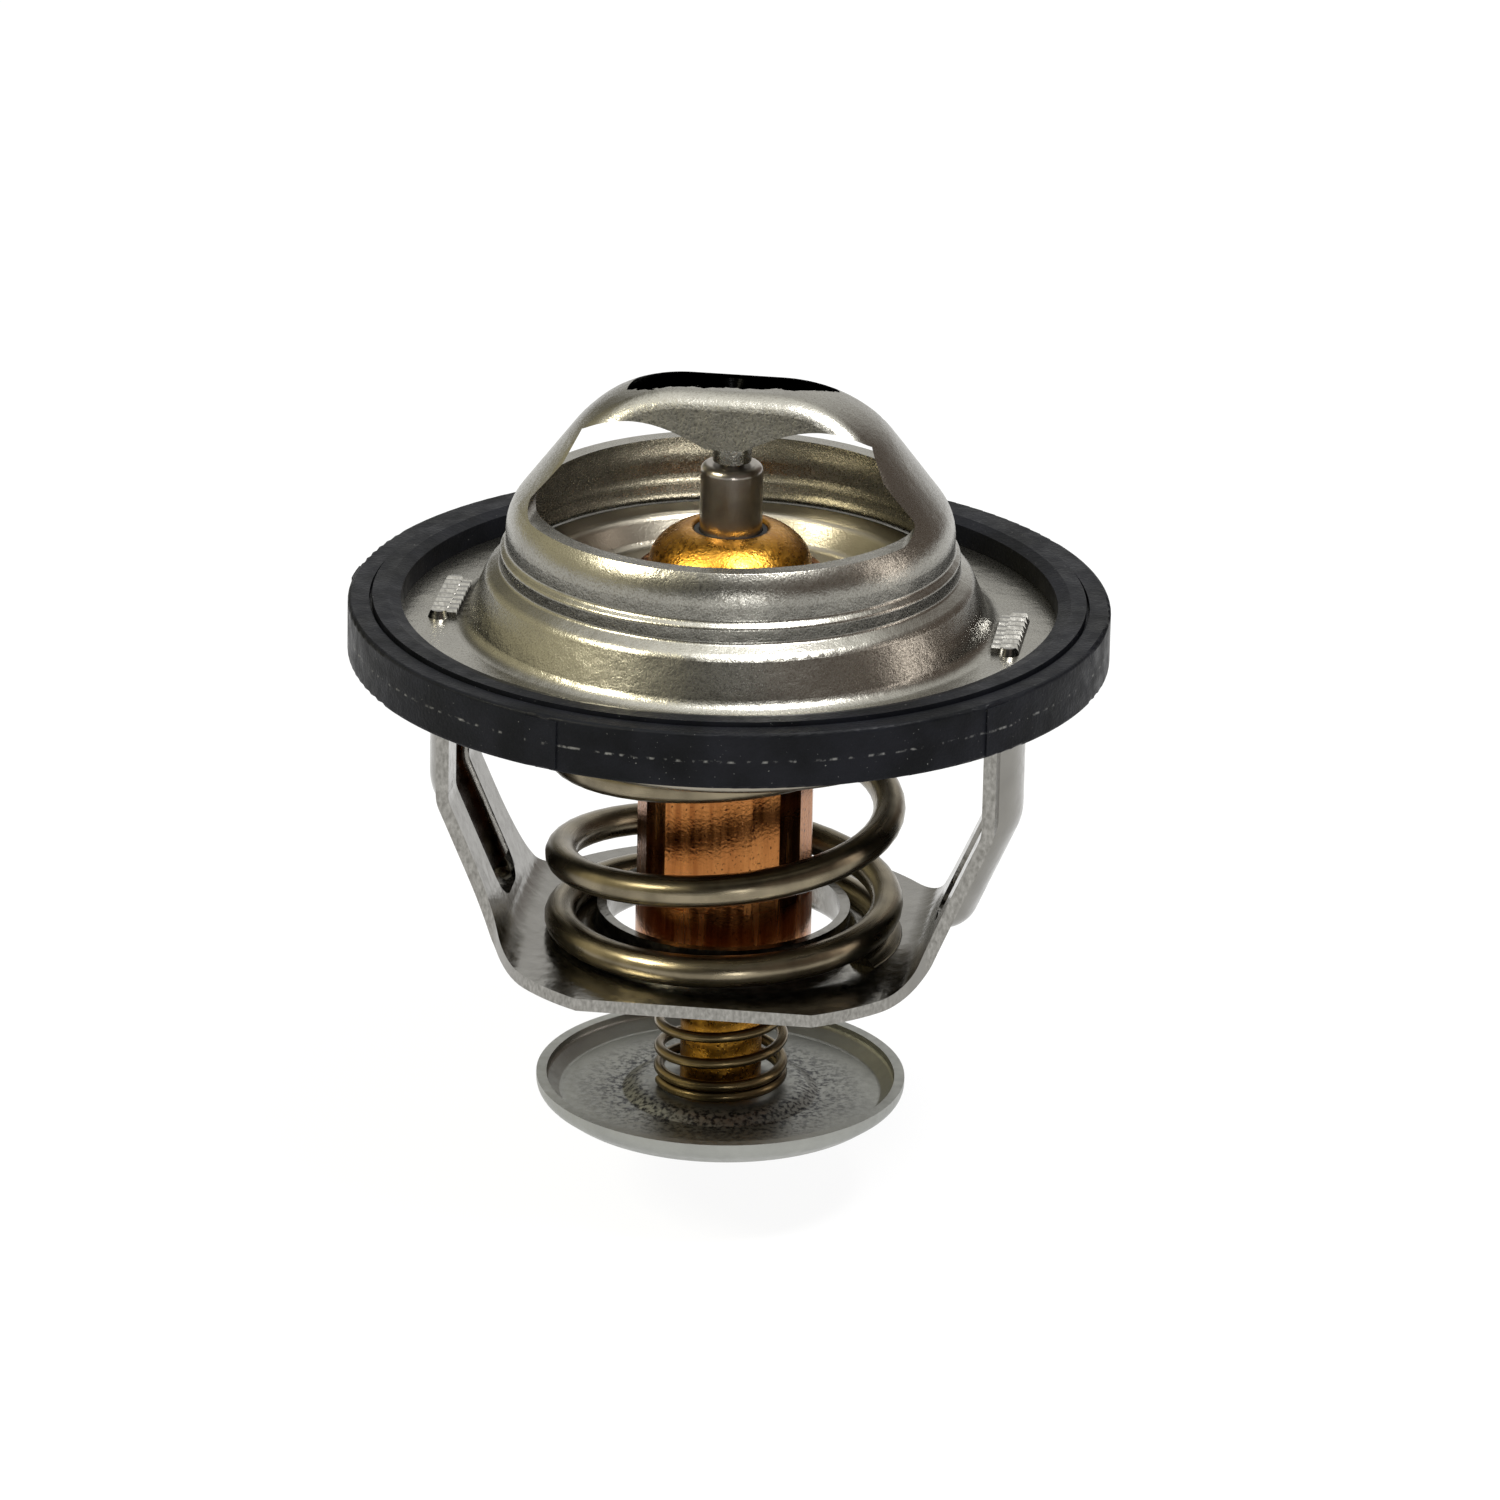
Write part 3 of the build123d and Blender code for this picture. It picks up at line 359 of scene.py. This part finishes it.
def browned_copper():
    """Copper of the cup, browned by heat, with upright streaks from the crimping press and dark spots."""
    material, tree = new_finish("browned copper")
    streaks = add(tree, "ShaderNodeGroup", {"Size": 0.8 * MM, "Stretch": (1, 1, 12)}, node_tree=GRAIN)
    copper = add(tree, "ShaderNodeMix", {0: streaks, 6: linear("#86522a"), 7: linear("#b57a45")}, data_type="RGBA")
    spots = add(tree, "ShaderNodeGroup", {"Size": 0.3 * MM, "Low": 0.62, "High": 0.72, "Detail": 2}, node_tree=GRAIN)
    body = add(tree, "ShaderNodeMix", {0: spots, 6: copper, 7: linear("#4c2c16")}, data_type="RGBA")
    rough = add(tree, "ShaderNodeMapRange", {"Value": streaks, "To Min": 0.16, "To Max": 0.3})
    fine = add(tree, "ShaderNodeGroup", {"Size": 0.25 * MM}, node_tree=GRAIN)
    skin = add(tree, "ShaderNodeBump", {"Height": fine, "Distance": 0.008 * MM})
    surface = add(tree, "ShaderNodeBsdfPrincipled", {
        "Base Color": body, "Metallic": 1.0, "Roughness": rough, "Normal": skin})
    add(tree, "ShaderNodeOutputMaterial", {"Surface": surface})
    return material


def pressed_disc():
    """Pressed steel of the bypass disc: satin grey, stained in a dark ring round its centre."""
    material, tree = new_finish("pressed steel")
    clouds = add(tree, "ShaderNodeGroup", {"Size": 4 * MM, "Detail": 4}, node_tree=GRAIN)
    clean = add(tree, "ShaderNodeMix", {0: clouds, 6: linear("#92938f"), 7: linear("#9d9e99")}, data_type="RGBA")
    # The stain is a ring that frays inward and outward
    place = add(tree, "ShaderNodeTexCoord").outputs["Object"]
    flat = add(tree, "ShaderNodeVectorMath", {0: place, 1: (1, 1, 0)}, operation="MULTIPLY")
    reach = add(tree, "ShaderNodeVectorMath", {0: flat}, operation="LENGTH")
    inside = add(tree, "ShaderNodeMapRange", {"Value": reach, "From Min": 12.0 * MM, "From Max": 8.0 * MM})
    outside = add(tree, "ShaderNodeMapRange", {"Value": reach, "From Min": 5.0 * MM, "From Max": 6.5 * MM})
    ring = add(tree, "ShaderNodeMath", {0: inside, 1: outside}, operation="MULTIPLY")
    soot = add(tree, "ShaderNodeGroup", {"Size": 0.35 * MM, "Low": 0.44, "High": 0.62, "Detail": 5}, node_tree=GRAIN)
    stain = add(tree, "ShaderNodeMath", {0: ring, 1: soot}, operation="MULTIPLY")
    body = add(tree, "ShaderNodeMix", {0: stain, 6: clean, 7: linear("#35363a")}, data_type="RGBA")
    rubbed = add(tree, "ShaderNodeGroup", {"Size": 0.6 * MM}, node_tree=GRAIN)
    rough = add(tree, "ShaderNodeMapRange", {"Value": rubbed, "To Min": 0.38, "To Max": 0.48})
    fine = add(tree, "ShaderNodeGroup", {"Size": 0.2 * MM}, node_tree=GRAIN)
    waves = add(tree, "ShaderNodeGroup", {"Size": 2 * MM}, node_tree=GRAIN)
    skin = add(tree, "ShaderNodeBump", {"Height": fine, "Distance": 0.003 * MM})
    skin = add(tree, "ShaderNodeBump", {"Height": waves, "Distance": 0.012 * MM, "Normal": skin})
    surface = add(tree, "ShaderNodeBsdfPrincipled", {
        "Base Color": body, "Metallic": 1.0, "Roughness": rough, "Normal": skin})
    add(tree, "ShaderNodeOutputMaterial", {"Surface": surface})
    return material


def even_finish(name, tone, metallic, roughness):
    """One even tone, for the pieces that are hidden or hardly seen."""
    material, tree = new_finish(name)
    surface = add(tree, "ShaderNodeBsdfPrincipled",
                  {"Base Color": linear(tone), "Metallic": metallic, "Roughness": roughness})
    add(tree, "ShaderNodeOutputMaterial", {"Surface": surface})
    return material


def finish_nodes(finishes):
    """Gives each piece of the frame its finish, by the record's material slots."""
    for entry in frame["record"]["subparts"]:
        for held in NODES[entry["node"]].material_slots:
            held.material = finishes[entry["material_slot"]]


# Springs

def coil_tree():
    """Node tree that winds a compression spring with closed and ground ends between two seats."""
    tree = bpy.data.node_groups.new("wound spring", "GeometryNodeTree")
    sizes = ("Mean Radius", "Wire Radius", "Foot", "Head", "Tip", "Turns", "End Turns", "Ramp Turns", "End Rise",
             "Tip Cut")
    for name in sizes:
        tree.interface.new_socket(name, in_out="INPUT", socket_type="NodeSocketFloat")
    tree.interface.new_socket("Steps", in_out="INPUT", socket_type="NodeSocketInt")
    tree.interface.new_socket("Material", in_out="INPUT", socket_type="NodeSocketMaterial")
    tree.interface.new_socket("Geometry", in_out="OUTPUT", socket_type="NodeSocketGeometry")
    given = add(tree, "NodeGroupInput").outputs
    line = add(tree, "GeometryNodeCurvePrimitiveLine")
    steps = add(tree, "GeometryNodeResampleCurve", {"Curve": line, "Count": given["Steps"]})
    # Each step has its turn, and its distance in turns from the nearer end
    last = add(tree, "ShaderNodeMath", {0: given["Steps"], 1: 1.0}, operation="SUBTRACT")
    index = add(tree, "GeometryNodeInputIndex")
    part = add(tree, "ShaderNodeMath", {0: index, 1: last}, operation="DIVIDE")
    turn = add(tree, "ShaderNodeMath", {0: part, 1: given["Turns"]}, operation="MULTIPLY")
    to_head = add(tree, "ShaderNodeMath", {0: given["Turns"], 1: turn}, operation="SUBTRACT")
    nearer = add(tree, "ShaderNodeMath", {0: turn, 1: to_head}, operation="MINIMUM")
    # The pitch is nothing in the ends, full in the middle, and runs from one to the other over the ramps
    past_end = add(tree, "ShaderNodeMath", {0: nearer, 1: given["End Turns"]}, operation="SUBTRACT")
    opening = add(tree, "ShaderNodeMath", {0: past_end, 1: given["Ramp Turns"]}, operation="DIVIDE")
    raised = add(tree, "ShaderNodeMath", {0: opening, 1: 0.5}, operation="ADD")
    not_below = add(tree, "ShaderNodeMath", {0: raised, 1: 0.0}, operation="MAXIMUM")
    pitch = add(tree, "ShaderNodeMath", {0: not_below, 1: 1.0}, operation="MINIMUM")
    opened = add(tree, "GeometryNodeAccumulateField", {"Value": pitch}).outputs
    rise = add(tree, "ShaderNodeMath", {0: opened["Trailing"], 1: opened["Total"]}, operation="DIVIDE")
    low = add(tree, "ShaderNodeMath", {0: given["Foot"], 1: given["Wire Radius"]}, operation="ADD")
    high = add(tree, "ShaderNodeMath", {0: given["Head"], 1: given["Wire Radius"]}, operation="SUBTRACT")
    closed_rise = add(tree, "ShaderNodeMath", {0: given["End Rise"], 1: given["Turns"]}, operation="MULTIPLY")
    room_between = add(tree, "ShaderNodeMath", {0: high, 1: low}, operation="SUBTRACT")
    climb = add(tree, "ShaderNodeMath", {0: room_between, 1: closed_rise}, operation="SUBTRACT")
    closed_height = add(tree, "ShaderNodeMath", {0: given["End Rise"], 1: turn, 2: low}, operation="MULTIPLY_ADD")
    open_height = add(tree, "ShaderNodeMath", {0: climb, 1: rise}, operation="MULTIPLY")
    height = add(tree, "ShaderNodeMath", {0: closed_height, 1: open_height}, operation="ADD")
    # Each tip dips into its seat and is ground flat there
    tip_run = add(tree, "ShaderNodeMath", {0: given["End Turns"], 1: TIP_SHARE}, operation="MULTIPLY")
    run_gone = add(tree, "ShaderNodeMath", {0: nearer, 1: tip_run}, operation="DIVIDE")
    run_left = add(tree, "ShaderNodeMath", {0: 1.0, 1: run_gone}, operation="SUBTRACT")
    dip = add(tree, "ShaderNodeMath", {0: run_left, 1: 0.0}, operation="MAXIMUM")
    half = add(tree, "ShaderNodeMath", {0: given["Turns"], 1: 0.5}, operation="MULTIPLY")
    in_upper = add(tree, "ShaderNodeMath", {0: turn, 1: half}, operation="GREATER_THAN")
    doubled = add(tree, "ShaderNodeMath", {0: in_upper, 1: 2.0}, operation="MULTIPLY")
    way = add(tree, "ShaderNodeMath", {0: doubled, 1: 1.0}, operation="SUBTRACT")
    depth = add(tree, "ShaderNodeMath", {0: dip, 1: given["Tip Cut"]}, operation="MULTIPLY")
    dipped = add(tree, "ShaderNodeMath", {0: depth, 1: way, 2: height}, operation="MULTIPLY_ADD")
    turned = add(tree, "ShaderNodeMath", {0: turn, 1: given["Tip"]}, operation="ADD")
    bearing = add(tree, "ShaderNodeMath", {0: turned, 1: 2 * pi}, operation="MULTIPLY")
    cosine = add(tree, "ShaderNodeMath", {0: bearing}, operation="COSINE")
    sine = add(tree, "ShaderNodeMath", {0: bearing}, operation="SINE")
    place_x = add(tree, "ShaderNodeMath", {0: cosine, 1: given["Mean Radius"]}, operation="MULTIPLY")
    place_y = add(tree, "ShaderNodeMath", {0: sine, 1: given["Mean Radius"]}, operation="MULTIPLY")
    place = add(tree, "ShaderNodeCombineXYZ", {"X": place_x, "Y": place_y, "Z": dipped})
    wound = add(tree, "GeometryNodeSetPosition", {"Geometry": steps, "Position": place})
    # The finish reads the length along the wire and the place across it
    angle = add(tree, "ShaderNodeMath", {0: turn, 1: 2 * pi}, operation="MULTIPLY")
    length = add(tree, "ShaderNodeMath", {0: angle, 1: given["Mean Radius"]}, operation="MULTIPLY")
    along = add(tree, "GeometryNodeStoreNamedAttribute",
                {"Geometry": wound, "Name": "wire_along", "Value": length}, data_type="FLOAT")
    ring = add(tree, "GeometryNodeCurvePrimitiveCircle", {"Resolution": WIRE_SIDES, "Radius": given["Wire Radius"]})
    spot = add(tree, "GeometryNodeInputPosition")
    across = add(tree, "ShaderNodeSeparateXYZ", {"Vector": spot}).outputs["X"]
    around = add(tree, "GeometryNodeStoreNamedAttribute",
                 {"Geometry": ring, "Name": "wire_round", "Value": across}, data_type="FLOAT")
    swept = add(tree, "GeometryNodeCurveToMesh", {"Curve": along, "Profile Curve": around, "Fill Caps": True})
    # Grinding presses what lies past a seat back onto it
    here = add(tree, "ShaderNodeSeparateXYZ", {"Vector": spot}).outputs
    least = add(tree, "ShaderNodeMath", {0: given["Foot"], 1: SEAT_GAP}, operation="ADD")
    most = add(tree, "ShaderNodeMath", {0: given["Head"], 1: SEAT_GAP}, operation="SUBTRACT")
    above_foot = add(tree, "ShaderNodeMath", {0: here["Z"], 1: least}, operation="MAXIMUM")
    below_head = add(tree, "ShaderNodeMath", {0: above_foot, 1: most}, operation="MINIMUM")
    ground = add(tree, "ShaderNodeCombineXYZ", {"X": here["X"], "Y": here["Y"], "Z": below_head})
    seated = add(tree, "GeometryNodeSetPosition", {"Geometry": swept, "Position": ground})
    whole = add(tree, "GeometryNodeRealizeInstances", {"Geometry": seated})
    painted = add(tree, "GeometryNodeSetMaterial", {"Geometry": whole, "Material": given["Material"]})
    add(tree, "NodeGroupOutput", {"Geometry": painted})
    return tree


def grown(name, tree, values):
    """Plain mesh object made by a node tree with these named inputs."""
    holder = bpy.data.objects.new(name + " maker", bpy.data.meshes.new(name + " maker"))
    bpy.context.collection.objects.link(holder)
    maker = holder.modifiers.new("maker", "NODES")
    maker.node_group = tree
    for item in tree.interface.items_tree:
        if item.in_out == "INPUT" and item.name in values:
            maker[item.identifier] = values[item.name]
    bpy.context.view_layer.update()
    ready = holder.evaluated_get(bpy.context.evaluated_depsgraph_get())
    mesh = bpy.data.meshes.new_from_object(ready)
    holder.modifiers.remove(maker)
    bpy.data.objects.remove(holder)
    mesh.name = name
    mesh.shade_smooth()
    piece = bpy.data.objects.new(name, mesh)
    bpy.context.collection.objects.link(piece)
    return piece


def main_coil(tree, finish):
    """The main spring, from its foot on the plate to its head, carried by the frame."""
    foot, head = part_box("main_spring")
    turns = SPRING_OPEN_TURNS + SPRING_END_TURNS * 2
    main = grown("main_coil", tree, {
        "Mean Radius": (head.x - foot.x - SPRING_WIRE) / 2, "Wire Radius": SPRING_WIRE / 2,
        "Foot": foot.z - SEAT_GAP, "Head": head.z + SEAT_GAP, "Tip": SPRING_TIP, "Turns": turns,
        "End Turns": SPRING_END_TURNS, "Ramp Turns": SPRING_RAMP_TURNS, "End Rise": 0.0,
        "Tip Cut": SPRING_TIP_CUT, "Steps": round(turns * COIL_STEPS_PER_TURN) + 1, "Material": finish})
    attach(main, "frame")
    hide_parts("main_spring")
    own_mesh(main)


def bypass_coil(tree, finish):
    """The bypass spring, from its foot to its head on the stem, carried by the element."""
    foot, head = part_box("bypass_spring")
    turns = BYPASS_OPEN_TURNS + BYPASS_END_TURNS * 2
    small = grown("bypass_coil", tree, {
        "Mean Radius": (head.x - foot.x - BYPASS_WIRE) / 2, "Wire Radius": BYPASS_WIRE / 2,
        "Foot": foot.z - SEAT_GAP, "Head": head.z + SEAT_GAP, "Tip": BYPASS_TIP, "Turns": turns,
        "End Turns": BYPASS_END_TURNS, "Ramp Turns": BYPASS_RAMP_TURNS, "End Rise": BYPASS_END_RISE,
        "Tip Cut": 0.0, "Steps": round(turns * COIL_STEPS_PER_TURN) + 1, "Material": finish})
    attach(small, "element")
    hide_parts("bypass_spring")
    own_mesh(small)


# Studio

def white_table(height):
    """Wide white floor that keeps a faint shadow. It shows white to the camera and in metal."""
    material, tree = new_finish("white table")
    seen = add(tree, "ShaderNodeLightPath").outputs
    shown = add(tree, "ShaderNodeMath", {0: seen["Is Camera Ray"], 1: seen["Is Glossy Ray"]}, operation="MAXIMUM")
    part = add(tree, "ShaderNodeMath", {0: shown, 1: TABLE_GLOW}, operation="MULTIPLY")
    matte = add(tree, "ShaderNodeBsdfDiffuse", {"Color": linear("#ffffff")})
    white = add(tree, "ShaderNodeEmission", {"Color": linear("#ffffff"), "Strength": 1.0})
    mixed = add(tree, "ShaderNodeMixShader", {0: part, 1: matte, 2: white})
    add(tree, "ShaderNodeOutputMaterial", {"Surface": mixed})
    corners = [(-TABLE_REACH, -TABLE_REACH, height), (TABLE_REACH, -TABLE_REACH, height),
               (TABLE_REACH, TABLE_REACH, height), (-TABLE_REACH, TABLE_REACH, height)]
    mesh = bpy.data.meshes.new("table")
    mesh.from_pydata(corners, [], [(0, 1, 2, 3)])
    mesh.materials.append(material)
    table = bpy.data.objects.new("table", mesh)
    bpy.context.collection.objects.link(table)


def room():
    """White room to the camera, and a graded studio with coloured sides in the metal."""
    world = bpy.data.worlds.new("room")
    bpy.context.scene.world = world
    world.use_nodes = True
    tree = world.node_tree
    tree.nodes.clear()
    seen = add(tree, "ShaderNodeLightPath").outputs
    place = add(tree, "ShaderNodeTexCoord").outputs["Generated"]
    way = add(tree, "ShaderNodeSeparateXYZ", {"Vector": place}).outputs
    # Dark in front and light behind
    behind = add(tree, "ShaderNodeMapRange", {"Value": way["Y"], "From Min": -0.4, "From Max": 0.6})
    depth = add(tree, "ShaderNodeMix", {0: behind, 6: linear("#454340"), 7: linear("#f4f3f0")}, data_type="RGBA")
    # Dim and then warm towards the left, brown at the right
    near_left = add(tree, "ShaderNodeMapRange", {"Value": way["X"], "From Min": -0.2, "From Max": -0.45})
    dim = add(tree, "ShaderNodeMix", {0: near_left, 6: depth, 7: linear("#6f6b5e")}, data_type="RGBA")
    far_left = add(tree, "ShaderNodeMapRange", {"Value": way["X"], "From Min": -0.5, "From Max": -0.85})
    warm = add(tree, "ShaderNodeMix", {0: far_left, 6: dim, 7: linear("#e0d7b2")}, data_type="RGBA")
    to_right = add(tree, "ShaderNodeMapRange", {"Value": way["X"], "From Min": 0.2, "From Max": 0.5})
    around = add(tree, "ShaderNodeMix", {0: to_right, 6: warm, 7: linear("#6f6259")}, data_type="RGBA")
    # Bright overhead
    up = add(tree, "ShaderNodeMapRange", {"Value": way["Z"], "From Min": 0.68, "From Max": 0.95})
    over = add(tree, "ShaderNodeMix", {0: up, 6: around, 7: OVERHEAD}, data_type="RGBA")
    in_metal = add(tree, "ShaderNodeBackground", {"Color": over, "Strength": 1.0})
    soft = add(tree, "ShaderNodeBackground", {"Color": linear("#ffffff"), "Strength": SOFT_LIGHT})
    plain = add(tree, "ShaderNodeBackground", {"Color": linear("#ffffff"), "Strength": 1.0})
    lit = add(tree, "ShaderNodeMixShader", {0: seen["Is Glossy Ray"], 1: soft, 2: in_metal})
    shown = add(tree, "ShaderNodeMixShader", {0: seen["Is Camera Ray"], 1: lit, 2: plain})
    add(tree, "ShaderNodeOutputWorld", {"Surface": shown})


def soft_lamp(name, place, size, power, shade, aim=(0, 0, 0)):
    """Rectangular soft lamp aimed at the thermostat. Its power is in watts."""
    lamp = bpy.data.lights.new(name, "AREA")
    lamp.shape = "RECTANGLE"
    lamp.size, lamp.size_y = size
    lamp.energy = power
    lamp.color = linear(shade)[:3]
    holder = bpy.data.objects.new(name, lamp)
    holder.location = place
    holder.rotation_euler = (Vector(aim) - Vector(place)).to_track_quat("-Z", "Y").to_euler()
    bpy.context.collection.objects.link(holder)


def lamps():
    """Soft lamps over the left and the right front, a low one that lights the copper, and a strip at the right."""
    soft_lamp("left key", place=(-0.42, -0.3, 0.45), size=(0.2, 0.2), power=4.5, shade="#fff8dc")
    soft_lamp("right key", place=(0.2, -0.2, 0.6), size=(0.2, 0.2), power=7.0, shade="#ffffff")
    soft_lamp("low front", place=(0.2, -0.7, 0.0), size=(0.1, 0.2), power=0.7, shade="#ffffff", aim=(0, 0, -0.02))
    soft_lamp("right strip", place=(0.55, 0.05, 0.12), size=(0.06, 0.4), power=0.4, shade="#fff4ec")


def photo_camera():
    """Camera where the photo was taken from."""
    turn, drop, roll = radians(VIEW_TURN), radians(VIEW_DROP), radians(VIEW_ROLL)
    level = Vector((cos(turn), sin(turn), 0))
    ahead = Vector((-sin(turn) * cos(drop), cos(turn) * cos(drop), -sin(drop)))
    above = level.cross(ahead)
    right = level * cos(roll) + above * sin(roll)
    up = above * cos(roll) - level * sin(roll)
    lens = bpy.data.cameras.new("photo camera")
    lens.lens = VIEW_LENS
    lens.sensor_width = VIEW_FILM
    lens.clip_start, lens.clip_end = 0.01, 20
    camera = bpy.data.objects.new("photo camera", lens)
    target = level * VIEW_SIDE + Vector((0, 0, VIEW_HEIGHT))
    axes = Matrix((right, up, -ahead)).transposed().to_4x4()
    camera.matrix_world = Matrix.Translation(target - ahead * VIEW_DISTANCE) @ axes
    bpy.context.collection.objects.link(camera)
    bpy.context.scene.camera = camera


FINISHES = {
    "satin_stainless": drawn_stainless(),
    "seal_rubber": moulded_rubber(),
    "frame_steel": rolled_strip(),
    "valve_steel": drawn_steel(),
    "piston_steel": ground_steel(),
    "spring_steel": spring_wire("tempered spring wire", "#6b6352", "#8b816c"),
    "bypass_spring_steel": spring_wire("small spring wire", "#594d36", "#7b6b4c"),
    "cover_brass": pressed_brass(),
    "cup_copper": browned_copper(),
    "inner_rubber": even_finish("soft black rubber", "#121212", 0.0, 0.6),    # dull black of the hidden seals
    "backing_plastic": even_finish("natural nylon", "#d8d2bd", 0.0, 0.5),     # ivory backing ring
    "wax": even_finish("filled wax", "#a9793f", 0.0, 0.5),                    # wax tinted by copper powder
    "clip_steel": even_finish("plain clip steel", "#9a9894", 1.0, 0.35),      # grey clip under the disc
    "disc_steel": pressed_disc(),
}
finish_nodes(FINISHES)
COIL = coil_tree()
main_coil(COIL, FINISHES["spring_steel"])
bypass_coil(COIL, FINISHES["bypass_spring_steel"])
white_table(CAD_BOX[0].z - TRAVEL["valve_lift"])
room()
lamps()
photo_camera()
bpy.context.scene.view_settings.view_transform = "Standard"
